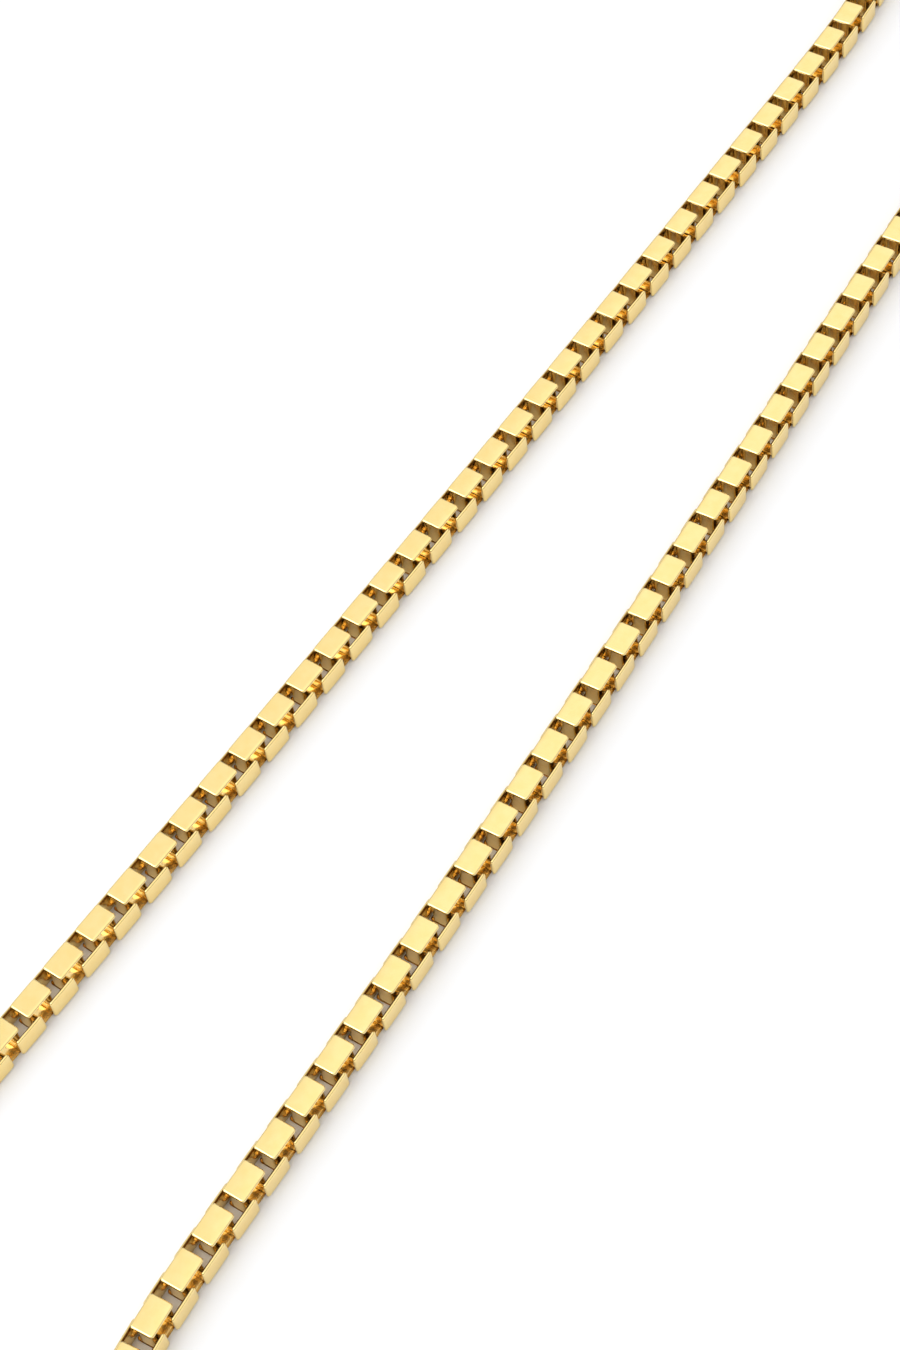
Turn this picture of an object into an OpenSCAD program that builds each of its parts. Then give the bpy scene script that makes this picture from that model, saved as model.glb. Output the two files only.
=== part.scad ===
// Box chain necklace, lying on a table as one closed loop. Each link is a square
// ring bent from flat strip and hooks through its neighbours, a quarter turn apart,
// and every link rests on the table. +X runs along the loop, +Z is up, and the
// origin is under its middle.

/* [Strip] */
// Width of the strip that a link is bent from
strip_w = 2.16; // [1.8:0.02:2.8]
// Thickness of the strip
strip_t = 0.32; // [0.2:0.01:0.4]
// Outer radius of the strip's four bends
bend_r = 0.42; // [0.3:0.01:0.5]

/* [Chain] */
// Distance from the middle of one link to the middle of the next
link_pitch = 2.2; // [2.1:0.05:3]
// Least gap between neighbouring links in the tightest bend
link_gap = 0.118; // [0.1:0.002:0.2]
// Further slack between neighbouring links, along the chain
link_slack = 0.15; // [0:0.01:0.3]

/* [Clasp] */
// Least distance between the middles of the clasp's two end loops
clasp_l = 10.5; // [8:0.5:14]
// Length of each rounded shoulder of the barrel
shoulder_l = 1.2; // [0.8:0.1:2]
// Diameter of the barrel's end faces
tip_d = 2; // [1.4:0.1:2.3]
// Width of the groove that parts the barrel's two halves
groove_w = 0.3; // [0.2:0.05:0.6]
// Depth of that groove
groove_t = 0.15; // [0.1:0.05:0.4]

/* [Hidden] */
$fn = 48;
gold = [0.93, 0.76, 0.38];

// Guide points of the loop, seen from above: right strand, near turn, left strand
// and far turn, back to the clasp.
ROUTE = [
    [80, -9], [60, -9], [42, -9.7], [18, -10.7], [-8, -11.8], [-34, -12.7], [-60, -13.2], [-82, -13.2],
    [-97, -16.5], [-110.5, -19], [-121, -12.5], [-125, 0.5], [-120.5, 13.5], [-109, 19.5], [-97, 17],
    [-84, 13.8], [-62, 13.1], [-36, 12.3], [-10, 11.7], [16, 11.2], [42, 10.9], [66, 10.7], [84, 10.6],
    [98, 14], [110.5, 18], [121.5, 12.5], [126, 0], [121.5, -13], [109, -18.5], [95, -13.5]
];
// Place of the clasp's first end loop, counted in guide points from the first
loop_u = 0.946;
// Smallest bend radius of the chain along the loop
tight_r = 14.5;

// Rounded to two thousandths of a millimetre, so that half of a size is round too
function even(size) = round(size * 500) / 500;

// The strip is cut narrower where it forms the end walls. A link on its side then
// lies on its edges, with its end walls clear of its neighbours' lower plates.
wall_w = even(strip_w - 2 * (strip_t + link_gap));

// A bend turns neighbouring links by this angle, and the end walls swing by its
// sine, so the play and the side gap grow with it.
link_turn = asin(link_pitch / tight_r);
play = even(link_gap + link_slack + wall_w / 2 * sin(link_turn));
side_gap = even(link_gap + (play / 2 + strip_t) * sin(link_turn));
link_l = link_pitch + 2 * strip_t + play;
link_h = strip_w + 2 * strip_t + 2 * side_gap;

route_n = len(ROUTE);
function guide(i) = ROUTE[(i + route_n) % route_n];

// The loop is a smooth cubic spline drawn towards its guide points.
function place(u) =
    let (i = floor(u), t = u - i, s = 1 - t)
    (s * s * s * guide(i - 1) + (3 * t * t * t - 6 * t * t + 4) * guide(i)
        + (3 * s * s * s - 6 * s * s + 4) * guide(i + 1) + t * t * t * guide(i + 2)) / 6;
function slope(u) =
    let (i = floor(u), t = u - i, s = 1 - t)
    (-s * s * guide(i - 1) + (3 * t * t - 4 * t) * guide(i)
        + (4 * s - 3 * s * s) * guide(i + 1) + t * t * guide(i + 2)) / 2;

// Next place one pitch away in a straight line, closed in on in a few steps
function closer(u, v, steps) =
    steps == 0 ? v : closer(u, u + (v - u) * link_pitch / norm(place(v) - place(u)), steps - 1);
function next_u(u) = closer(u, u + link_pitch / norm(slope(u)), 6);

// Walks round from the clasp's first end loop until only the clasp is left to fill.
end_u = loop_u + route_n - clasp_l / norm(slope(loop_u));
walk = [for (u = loop_u; u < end_u; u = next_u(u)) place(u)];
last = 2 * floor((len(walk) - 1) / 2);
function turn_of(step) = atan2(step.y, step.x);
clasp_span = walk[0] - walk[last];

// Rectangle with its corners cut round, as one outline
module rounded_outline(l, w, r) {
    difference() {
        square([l, w], center = true);
        for (x = [-1, 1], y = [-1, 1]) {
            translate([x * (l / 2 - r), y * (w / 2 - r)]) {
                difference() {
                    translate([x * r, y * r]) square(2 * r, center = true);
                    circle(r);
                }
            }
        }
    }
}

// One link, with its plates above and below and its hole straight across
module link() {
    hole_h = link_h - 2 * strip_t;
    difference() {
        rotate([90, 0, 0]) {
            linear_extrude(strip_w, center = true) {
                difference() {
                    rounded_outline(link_l, link_h, bend_r);
                    square([link_l - 2 * strip_t, hole_h], center = true);
                }
            }
        }
        for (side = [-1, 1]) {
            translate([0, side * (wall_w + strip_w) / 2, 0]) {
                cube([2 * link_l, strip_w, hole_h], center = true);
            }
        }
    }
}

// Sets its children at a place on the loop and at a height.
module set_at(p, height, angle) {
    translate([p.x, p.y, height]) rotate([0, 0, angle]) children();
}

// Every second link lies on its side.
module chain() {
    color(gold) {
        for (i = [1 : last - 1]) {
            angle = turn_of(walk[i + 1] - walk[i - 1]);
            if (i % 2 == 0) set_at(walk[i], link_h / 2, angle) link();
            else set_at(walk[i], strip_w / 2, angle) rotate([90, 0, 0]) link();
        }
    }
}

// Barrel with rounded shoulders and a parting groove, between two end loops that
// are shaped as links, all soldered into one piece
module clasp() {
    span = norm(clasp_span);
    barrel_l = span - link_l + 2 * strip_t;
    half_l = barrel_l / 2;
    color(gold) {
        set_at((walk[0] + walk[last]) / 2, link_h / 2, turn_of(clasp_span)) {
            for (side = [-1, 1]) translate([side * span / 2, 0, 0]) link();
            rotate([0, 90, 0]) {
                rotate_extrude() {
                    polygon([
                        [0, -half_l], [tip_d / 2, -half_l], [link_h / 2, shoulder_l - half_l],
                        [link_h / 2, -groove_w / 2], [link_h / 2 - groove_t, -groove_w / 2],
                        [link_h / 2 - groove_t, groove_w / 2], [link_h / 2, groove_w / 2],
                        [link_h / 2, half_l - shoulder_l], [tip_d / 2, half_l], [0, half_l]
                    ]);
                }
            }
        }
    }
}

chain();
clasp();
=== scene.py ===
import math

import bmesh
import bpy
import numpy as np
from mathutils import Matrix, Vector


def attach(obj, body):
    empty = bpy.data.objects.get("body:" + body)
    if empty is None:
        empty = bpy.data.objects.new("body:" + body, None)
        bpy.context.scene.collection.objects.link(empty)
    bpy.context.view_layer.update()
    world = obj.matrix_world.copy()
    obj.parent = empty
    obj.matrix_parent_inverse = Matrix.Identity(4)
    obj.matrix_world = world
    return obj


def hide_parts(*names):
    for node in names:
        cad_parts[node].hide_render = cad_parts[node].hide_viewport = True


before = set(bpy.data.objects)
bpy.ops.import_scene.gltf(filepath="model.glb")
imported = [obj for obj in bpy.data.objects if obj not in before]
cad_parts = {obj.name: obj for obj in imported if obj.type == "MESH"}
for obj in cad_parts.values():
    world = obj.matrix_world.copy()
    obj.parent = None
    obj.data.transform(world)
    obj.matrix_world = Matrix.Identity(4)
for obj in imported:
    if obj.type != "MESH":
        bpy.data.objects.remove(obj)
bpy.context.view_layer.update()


# The chain. Each link is a square ring of plated brass strip, hooked through its two
# neighbours a quarter turn apart: one upright, with its plates above and below, the next
# on its side. The frame's solids hold every link, so their places are read from them.
MERGE = 1e-6


def islands(node):
    """The mesh of a node and its loose solids, each a list of that mesh's faces."""
    mesh = bmesh.new()
    mesh.from_mesh(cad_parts[node].data)
    bmesh.ops.remove_doubles(mesh, verts=mesh.verts, dist=MERGE)
    left = set(mesh.faces)
    found = []
    while left:
        solid = [left.pop()]
        for face in solid:
            for edge in face.edges:
                fresh = [f for f in edge.link_faces if f in left]
                left.difference_update(fresh)
                solid.extend(fresh)
        found.append(solid)
    return mesh, found


def corners(solid):
    """Lowest and highest corner of the box round a solid."""
    spots = [v.co for face in solid for v in face.verts]
    return Vector(map(min, *spots)), Vector(map(max, *spots))


def heading(solid, towards):
    """Direction of the end wall that faces most towards the next link."""
    wall = max(solid, key=lambda face: face.calc_area() * face.normal.dot(towards))
    return Vector((wall.normal.x, wall.normal.y, 0)).normalized()


def length_along(solid, direction):
    reach = [v.co.dot(direction) for face in solid for v in face.verts]
    return max(reach) - min(reach)


def in_order(loose, start):
    """The links as they follow each other, from the one nearest to start."""
    here, left, line = start, list(loose), []
    while left:
        nearest = min(left, key=lambda link: (link["at"] - here).length)
        left.remove(nearest)
        line.append(nearest)
        here = nearest["at"]
    return line


# Both meshes stay named, because the faces of their solids last no longer than they do.
chain_mesh, chain_solids = islands("chain")
clasp_frame, clasp_solids = islands("clasp")
clasp_low, clasp_high = corners(clasp_solids[0])
clasp_at = (clasp_low + clasp_high) / 2

links = []
for solid in chain_solids:
    low, high = corners(solid)
    links.append({"at": (low + high) / 2, "height": high.z - low.z, "solid": solid})
strip_w = min(link["height"] for link in links)
link_h = max(link["height"] for link in links)
links = in_order(links, Vector((clasp_high.x, clasp_at.y, clasp_at.z)))
for link, following in zip(links, links[1:] + [None]):
    towards = (following["at"] if following else clasp_at) - link["at"]
    link["heading"] = heading(link["solid"], towards)
    link["upright"] = link["height"] > (strip_w + link_h) / 2
link_l = length_along(links[0]["solid"], links[0]["heading"])


# The links' gold plating, tumbled bright. Its flats keep a fine satin grain and a little
# mottle in colour, and the necks and insides are less polished. The insides are also
# painted a little darker as painted shade, and the plates' cut sides are painted brown as
# the painted shade of the dark groove that runs beside each plate.
GOLD_PALE = (1.0, 0.79, 0.35, 1)
GOLD_DEEP = (1.0, 0.76, 0.31, 1)
POLISH = (0.10, 0.17)
NECK_PALE = (1.0, 0.79, 0.38, 1)
NECK_DEEP = (1.0, 0.73, 0.30, 1)
NECK_POLISH = (0.14, 0.24)
# The inside gold's darker tone is painted shade on the plates' undersides and the necks' backs;
# its roughness is their duller finish.
INSIDE_SHADED_PALE = (1.0, 0.77, 0.35, 1)
INSIDE_SHADED_DEEP = (0.90, 0.66, 0.27, 1)
INSIDE_POLISH = (0.16, 0.26)
# The edge gold's brown is painted shade for the groove beside each plate.
EDGE_SHADE_PALE = (0.52, 0.29, 0.07, 1)
EDGE_SHADE_DEEP = (0.30, 0.15, 0.03, 1)
EDGE_POLISH = (0.20, 0.30)

MOTTLE_PER_M = 900
MOTTLE_DETAIL = 3
MOTTLE_SPREAD = (0.35, 0.65)
GRAIN_PER_M = 14000
GRAIN_DETAIL = 2
GRAIN_SPREAD = (0.3, 0.7)
GRAIN_DEPTH = 1.2e-6
GRAIN_STRENGTH = 0.5


def gold(name, pale, deep, polish):
    """Gold that drifts in colour from deep to pale and in roughness across polish."""
    material = bpy.data.materials.new(name)
    material.use_nodes = True
    nodes = material.node_tree.nodes
    link_up = material.node_tree.links.new
    shader = nodes["Principled BSDF"]
    shader.inputs["Metallic"].default_value = 1
    place = nodes.new("ShaderNodeTexCoord").outputs["Object"]

    mottle = nodes.new("ShaderNodeTexNoise")
    mottle.inputs["Scale"].default_value = MOTTLE_PER_M
    mottle.inputs["Detail"].default_value = MOTTLE_DETAIL
    link_up(place, mottle.inputs["Vector"])
    tone = nodes.new("ShaderNodeValToRGB")
    for stop, share, colour in zip(tone.color_ramp.elements, MOTTLE_SPREAD, (deep, pale)):
        stop.position = share
        stop.color = colour
    link_up(mottle.outputs["Fac"], tone.inputs["Fac"])
    link_up(tone.outputs["Color"], shader.inputs["Base Color"])

    grain = nodes.new("ShaderNodeTexNoise")
    grain.inputs["Scale"].default_value = GRAIN_PER_M
    grain.inputs["Detail"].default_value = GRAIN_DETAIL
    link_up(place, grain.inputs["Vector"])
    rough = nodes.new("ShaderNodeMapRange")
    rough.inputs["From Min"].default_value = GRAIN_SPREAD[0]
    rough.inputs["From Max"].default_value = GRAIN_SPREAD[1]
    rough.inputs["To Min"].default_value = polish[0]
    rough.inputs["To Max"].default_value = polish[1]
    link_up(grain.outputs["Fac"], rough.inputs["Value"])
    link_up(rough.outputs["Result"], shader.inputs["Roughness"])
    bump = nodes.new("ShaderNodeBump")
    bump.inputs["Strength"].default_value = GRAIN_STRENGTH
    bump.inputs["Distance"].default_value = GRAIN_DEPTH
    link_up(grain.outputs["Fac"], bump.inputs["Height"])
    link_up(bump.outputs["Normal"], shader.inputs["Normal"])
    return material


chain_gold = gold("chain_gold_plate", GOLD_PALE, GOLD_DEEP, POLISH)
neck_gold = gold("neck_gold_plate", NECK_PALE, NECK_DEEP, NECK_POLISH)
# The inside gold is darkened a little as painted shade.
inside_shaded_gold = gold("inside_painted_shade_gold", INSIDE_SHADED_PALE, INSIDE_SHADED_DEEP, INSIDE_POLISH)
# The edge gold is brown painted shade.
edge_shade_gold = gold("edge_painted_shade_gold", EDGE_SHADE_PALE, EDGE_SHADE_DEEP, EDGE_POLISH)

# The golds in the order of a piece's material slots.
POLISHED, NECK, INSIDE_SHADED, EDGE_SHADE = 0, 1, 2, 3


# One link. A flat blank with two broad plates and two narrow necks is folded into a
# square ring and soldered shut. The necks form its end walls, drawn in a little at the
# middle, and tumbling has rounded the plates' corners and every cut edge.
PLATE_T = 0.00035
CORNER_R = 0.00030
CROWN = 0.000014
EDGE_R = 0.00018
UNDER_BEVEL = 0.00016
CORNER_STEPS = 5
EDGE_STEPS = 4
EDGE_SHADE_BANDS = 2
FLAT_RINGS = (0.5, 0.85)

# How far the plates reach past the frame's solids at each end and each side, and how far
# their outer faces lie inside them.
PLATE_MORE_L = 0.00002
PLATE_MORE_W = 0.00005
PLATE_DOWN = 0.00002


def plate_outline():
    """Corners and edges of a plate from above, as points with the way out there."""
    half_l = link_l / 2 + PLATE_MORE_L
    half_w = strip_w / 2 + PLATE_MORE_W
    outline = []
    for quarter in range(4):
        sign_x = (1, -1, -1, 1)[quarter]
        sign_y = (1, 1, -1, -1)[quarter]
        middle = Vector((sign_x * (half_l - CORNER_R), sign_y * (half_w - CORNER_R)))
        for i in range(CORNER_STEPS + 1):
            turn = math.pi / 2 * (quarter + i / CORNER_STEPS)
            way = Vector((math.cos(turn), math.sin(turn)))
            outline.append((middle + CORNER_R * way, way))
        turn = math.pi / 2 * (quarter + 1)
        way = Vector((math.cos(turn), math.sin(turn)))
        edge = Vector((way.x * half_l, way.y * half_w))
        outline.append((edge, way))
    return outline


def plate_points():
    """Upper plate of an upright link: a slab with a soft crown and rounded edges."""
    outline = plate_outline()
    half_l = max(spot.x for spot, way in outline)
    half_w = max(spot.y for spot, way in outline)

    # Each loop of points round the plate is a share of its size, an inset and a drop.
    loops = [(share, EDGE_R, 0) for share in FLAT_RINGS]
    for i in range(EDGE_STEPS + 1):
        turn = math.pi / 2 * i / EDGE_STEPS
        loops.append((1, EDGE_R * (1 - math.sin(turn)), EDGE_R * (1 - math.cos(turn))))
    loops.append((1, 0, PLATE_T - UNDER_BEVEL))
    loops.append((1, UNDER_BEVEL, PLATE_T))

    rows = [(0, 0, 0)]
    for share, inset, drop in loops:
        for spot, way in outline:
            flat = (spot - way * inset) * share
            crown = CROWN * ((flat.x / half_l) ** 2 + (flat.y / half_w) ** 2)
            rows.append((flat.x, flat.y, -drop - crown))
    rows.append((0, 0, -PLATE_T))

    count = len(outline)
    bands = len(loops) - 1
    faces, golds = [], []
    for j in range(count):
        k = (j + 1) % count
        faces.append((0, 1 + j, 1 + k))
        golds.append(POLISHED)
        for i in range(bands):
            here, below = 1 + i * count, 1 + (i + 1) * count
            faces.append((here + j, below + j, below + k, here + k))
            # The last bands, the plate's cut side and under bevel, take the brown painted
            # shade.
            golds.append(EDGE_SHADE if i >= bands - EDGE_SHADE_BANDS else POLISHED)
        # The underside takes the inside gold, whose darker tone is painted shade.
        last = 1 + bands * count
        faces.append((last + j, len(rows) - 1, last + k))
        golds.append(INSIDE_SHADED)
    rows = np.array(rows) + np.array((0, 0, link_h / 2 - PLATE_DOWN))
    return rows, faces, golds


# The neck is narrowest and set back furthest at its waist, and flares to its full width
# at the plates. Its outer face rounds off towards its two sides.
NECK_T = 0.00028
NECK_IN = 0.00003
NECK_W = 0.00174
WAIST_IN = 0.00008
WAIST_W = 0.00150
FLARE_POWER = 1.8
NECK_ROUND = 0.00010
ROUND_POWER = 4
BACK_SHARE = 0.94
NECK_STEPS = 12
NECK_ACROSS = 7


def neck_points():
    """The neck at a link's front end, from inside the upper plate to the lower one."""
    top = link_h / 2 - PLATE_T / 2
    front = link_l / 2 + PLATE_MORE_L - NECK_IN
    rows = []
    for i in range(NECK_STEPS + 1):
        share = 1 - 2 * i / NECK_STEPS
        flare = abs(share) ** FLARE_POWER
        out = front - WAIST_IN * (1 - flare)
        half_w = (WAIST_W + (NECK_W - WAIST_W) * flare) / 2
        section = []
        for j in range(NECK_ACROSS + 1):
            across = 2 * j / NECK_ACROSS - 1
            section.append((out - NECK_ROUND * across**ROUND_POWER, across * half_w))
        section.append((out - NECK_T, half_w * BACK_SHARE))
        section.append((out - NECK_T, -half_w * BACK_SHARE))
        rows += [(x, y, top * share) for x, y in section]

    count = len(section)
    faces, golds = [], []
    for i in range(NECK_STEPS):
        for j in range(count):
            k = (j + 1) % count
            here, below = i * count, (i + 1) * count
            faces.append((here + j, below + j, below + k, here + k))
            # The neck's back and sides take the inside gold, whose darker tone is painted
            # shade.
            golds.append(NECK if j < NECK_ACROSS else INSIDE_SHADED)
    faces.append(tuple(range(count)))
    faces.append(tuple(reversed(range(len(rows) - count, len(rows)))))
    golds += [INSIDE_SHADED, INSIDE_SHADED]
    return np.array(rows), faces, golds


def link_points():
    """One upright link at the origin, heading along +X: its points, its faces, and
    the gold of each face."""
    plate, neck = plate_points(), neck_points()
    sides = [(plate, (1, 1, 1)), (plate, (1, -1, -1)), (neck, (1, 1, 1)), (neck, (-1, -1, 1))]
    spots, faces, golds = [], [], []
    for (shape, rings, tones), signs in sides:
        first = sum(len(row) for row in spots)
        spots.append(shape * np.array(signs))
        faces += [tuple(first + i for i in ring) for ring in rings]
        golds += tones
    return np.concatenate(spots), faces, golds


def turned(upright, direction):
    """Rotation that sets a link along its heading, on its side or not."""
    across = Vector((0, 0, 1)).cross(direction)
    if upright:
        return Matrix((direction, across, Vector((0, 0, 1)))).transposed()
    return Matrix((direction, Vector((0, 0, 1)), -across)).transposed()


def soften(mesh):
    """Smooth shading in which the broad faces keep their own direction."""
    facing = np.zeros((len(mesh.vertices), 3))
    ways = np.zeros(len(mesh.polygons) * 3)
    areas = np.zeros(len(mesh.polygons))
    sides = np.zeros(len(mesh.polygons), int)
    around = np.zeros(len(mesh.loops), int)
    mesh.polygons.foreach_get("normal", ways)
    mesh.polygons.foreach_get("area", areas)
    mesh.polygons.foreach_get("loop_total", sides)
    mesh.loops.foreach_get("vertex_index", around)
    weighted = ways.reshape(-1, 3) * areas[:, None]
    np.add.at(facing, around, np.repeat(weighted, sides, axis=0))
    facing /= np.linalg.norm(facing, axis=1)[:, None]
    mesh.shade_smooth()
    mesh.normals_split_custom_set_from_vertices(facing)


def plated(name, spots, faces, golds, main_gold):
    """A piece whose faces take the golds that are listed for them."""
    mesh = bpy.data.meshes.new(name)
    mesh.from_pydata(spots, [], faces)
    soften(mesh)
    piece = bpy.data.objects.new(name, mesh)
    bpy.context.scene.collection.objects.link(piece)
    for material in (main_gold, neck_gold, inside_shaded_gold, edge_shade_gold):
        mesh.materials.append(material)
    mesh.polygons.foreach_set("material_index", golds)
    return piece


# The links as they lie. Those on their side ride just above the table, with their necks
# close above their neighbours' lower plates.
SIDE_LIFT = 0.00013
TILT = 0.003
TILT_SEED = 5
chance = np.random.default_rng(TILT_SEED)


def settled():
    """A small tilt, as no link lies quite true."""
    nod, roll = chance.uniform(-TILT, TILT, 2)
    return np.array(Matrix.Rotation(nod, 3, "Y") @ Matrix.Rotation(roll, 3, "X"))


def links_piece(name, chosen):
    """All the chosen links as one piece of the scene."""
    shape, rings, golds = link_points()
    spots, faces = [], []
    for number, link in enumerate(chosen):
        rotation = np.array(turned(link["upright"], link["heading"])) @ settled()
        lift = 0 if link["upright"] else SIDE_LIFT
        spots.append(shape @ rotation.T + np.array(link["at"]) + np.array((0, 0, lift)))
        faces += [tuple(number * len(shape) + i for i in ring) for ring in rings]
    piece = plated(name, np.concatenate(spots), faces, golds * len(chosen), chain_gold)
    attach(piece, "root")
    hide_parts("chain")


links_piece("upright_links", [link for link in links if link["upright"]])
links_piece("side_links", [link for link in links if not link["upright"]])


# The clasp. A barrel is turned from brass rod with rounded shoulders and one groove,
# and a link is soldered to each of its ends. The whole is plated and polished.
SHOULDER_L = 0.0012
TIP_R = 0.0010
TIP_IN = 0.00032
CENTRE_R = 0.0002
GROOVE_W = 0.0003
GROOVE_T = 0.00015
TIP_EASE = 0.00025
SHOULDER_EASE = 0.0005
GROOVE_EASE = 0.00004
EASE_STEPS = 4
BARREL_STEPS = 72
TURNED_POLISH = (0.07, 0.12)


def eased(line, radii):
    """The line with each inner corner cut round; points are (along, out)."""
    spots = [Vector(line[0])]
    for before, at, after, radius in zip(line, line[1:], line[2:], radii):
        before, at, after = Vector(before), Vector(at), Vector(after)
        start = at + (before - at).normalized() * radius
        end = at + (after - at).normalized() * radius
        for i in range(EASE_STEPS + 1):
            t = i / EASE_STEPS
            spots.append((1 - t)**2 * start + 2 * t * (1 - t) * at + t**2 * end)
    return spots + [Vector(line[-1])]


def barrel_points(half_l, radius):
    """The barrel along X: its profile from end to end, turned round its own axis."""
    groove = GROOVE_W / 2
    side = [(groove, radius - GROOVE_T), (groove, radius), (half_l - SHOULDER_L, radius),
            (half_l, TIP_R), (half_l, CENTRE_R)]
    mirrored = [(-x, r) for x, r in reversed(side)]
    radii = (TIP_EASE, SHOULDER_EASE, GROOVE_EASE, GROOVE_EASE)
    line = eased(mirrored + side, radii + radii[::-1])
    rows = []
    for spot in line:
        for i in range(BARREL_STEPS):
            turn = 2 * math.pi * i / BARREL_STEPS
            rows.append((spot.x, spot.y * math.cos(turn), spot.y * math.sin(turn)))
    faces = []
    for i in range(len(line) - 1):
        for j in range(BARREL_STEPS):
            k = (j + 1) % BARREL_STEPS
            here, ahead = i * BARREL_STEPS, (i + 1) * BARREL_STEPS
            faces.append((here + j, here + k, ahead + k, ahead + j))
    faces.append(tuple(reversed(range(BARREL_STEPS))))
    faces.append(tuple(range(len(rows) - BARREL_STEPS, len(rows))))
    return np.array(rows), faces


clasp_gold = gold("clasp_gold_plate", GOLD_PALE, GOLD_DEEP, TURNED_POLISH)
clasp_heading = heading(clasp_solids[0], links[0]["at"] - clasp_at)
half_span = (length_along(clasp_solids[0], clasp_heading) - link_l) / 2
loop_spots, loop_faces, loop_golds = link_points()
spots, faces = barrel_points(half_span - link_l / 2 + TIP_IN, link_h / 2)
golds = [POLISHED] * len(faces)
for side in (-1, 1):
    faces += [tuple(len(spots) + i for i in ring) for ring in loop_faces]
    spots = np.concatenate([spots, loop_spots + np.array((side * half_span, 0, 0))])
    golds += loop_golds
spots = spots @ np.array(turned(True, clasp_heading)).T + np.array(clasp_at)
clasp = plated("clasp_barrel", spots, faces, golds, clasp_gold)
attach(clasp, "root")
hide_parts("clasp")


# The table. A smooth, matt white sheet lies flat under the chain, and is much wider
# than it. It belongs to the picture, not to the necklace.
FLOOR_W = 6
SHEET_WHITE = (0.79, 0.795, 0.812, 1)
SHEET_ROUGHNESS = 0.7

floor_mesh = bpy.data.meshes.new("floor")
half = FLOOR_W / 2
floor_mesh.from_pydata(
    [(-half, -half, 0), (half, -half, 0), (half, half, 0), (-half, half, 0)], [], [(0, 1, 2, 3)]
)
floor = bpy.data.objects.new("floor", floor_mesh)
bpy.context.scene.collection.objects.link(floor)
sheet = bpy.data.materials.new("white_sheet")
sheet.use_nodes = True
sheet_shader = sheet.node_tree.nodes["Principled BSDF"]
sheet_shader.inputs["Base Color"].default_value = SHEET_WHITE
sheet_shader.inputs["Roughness"].default_value = SHEET_ROUGHNESS
floor_mesh.materials.append(sheet)


# Soft studio light. Three white panels face the chain: a broad, faint one beyond it, which
# the plates mirror, a bright one at the left and one above.
def panel(name, aim, distance, size, radiance, side=(1, 0, 0)):
    """Square panel that faces the chain, with one pair of its edges across side."""
    light = bpy.data.lights.new(name, "AREA")
    light.shape = "SQUARE"
    light.size = size
    light.energy = math.pi * size**2 * radiance
    lamp = bpy.data.objects.new(name, light)
    bpy.context.scene.collection.objects.link(lamp)
    back = Vector(aim).normalized()
    upwards = back.cross(Vector(side)).normalized()
    axes = Matrix((upwards.cross(back), upwards, back)).transposed().to_4x4()
    lamp.matrix_world = Matrix.Translation(back * distance) @ axes


panel("far_panel", aim=(0.481, -0.15, 0.862), distance=1.2, size=1.5, radiance=0.14,
      side=(0.246, -0.913, 0.314))
panel("left_panel", aim=(-0.80, 0.50, 0.75), distance=1.4, size=1.3, radiance=2.2)
panel("top_panel", aim=(-0.5, -0.1, 0.93), distance=1.3, size=1.2, radiance=0.7)

# A white tent stands round it all. Its walls are bright above and fall off towards the
# table's edge: each stop is a rise and the glow there.
TENT = ((0.0, 0.14), (0.20, 0.30), (0.50, 0.95), (1.0, 1.03))
world = bpy.data.worlds.new("studio")
world.use_nodes = True
nodes = world.node_tree.nodes
way = nodes.new("ShaderNodeTexCoord").outputs["Generated"]
parts = nodes.new("ShaderNodeSeparateXYZ")
tent = nodes.new("ShaderNodeValToRGB")
for rise, glow in TENT[1:-1]:
    tent.color_ramp.elements.new(rise)
for stop, (rise, glow) in zip(tent.color_ramp.elements, TENT):
    stop.position = rise
    stop.color = (glow, glow, glow, 1)
world.node_tree.links.new(way, parts.inputs["Vector"])
world.node_tree.links.new(parts.outputs["Z"], tent.inputs["Fac"])
world.node_tree.links.new(tent.outputs["Color"], nodes["Background"].inputs["Color"])
bpy.context.scene.world = world


# The camera stands by the chain's near turn and looks down on both strands at 55 degrees,
# turned a little on its own axis.
CAMERA_AT = Vector((-0.11387, -0.09320, 0.19745))
LOOK_BEARING = math.radians(46.4)
LOOK_DOWN = math.radians(55.168)
ROLL = math.radians(-11.654)
LENS_MM = 68.25
SENSOR_MM = 36
NEAREST_SEEN = 0.01

look = Vector((
    math.sin(LOOK_BEARING) * math.cos(LOOK_DOWN),
    math.cos(LOOK_BEARING) * math.cos(LOOK_DOWN),
    -math.sin(LOOK_DOWN),
))
level_right = Vector((math.cos(LOOK_BEARING), -math.sin(LOOK_BEARING), 0))
level_up = level_right.cross(look)
right = math.cos(ROLL) * level_right + math.sin(ROLL) * level_up
up = math.cos(ROLL) * level_up - math.sin(ROLL) * level_right
camera_axes = Matrix((right, up, -look)).transposed().to_4x4()
camera_data = bpy.data.cameras.new("camera")
camera_data.lens = LENS_MM
camera_data.sensor_width = SENSOR_MM
camera_data.clip_start = NEAREST_SEEN
camera = bpy.data.objects.new("camera", camera_data)
bpy.context.scene.collection.objects.link(camera)
camera.matrix_world = Matrix.Translation(CAMERA_AT) @ camera_axes
bpy.context.scene.camera = camera
bpy.context.scene.view_settings.view_transform = "Standard"
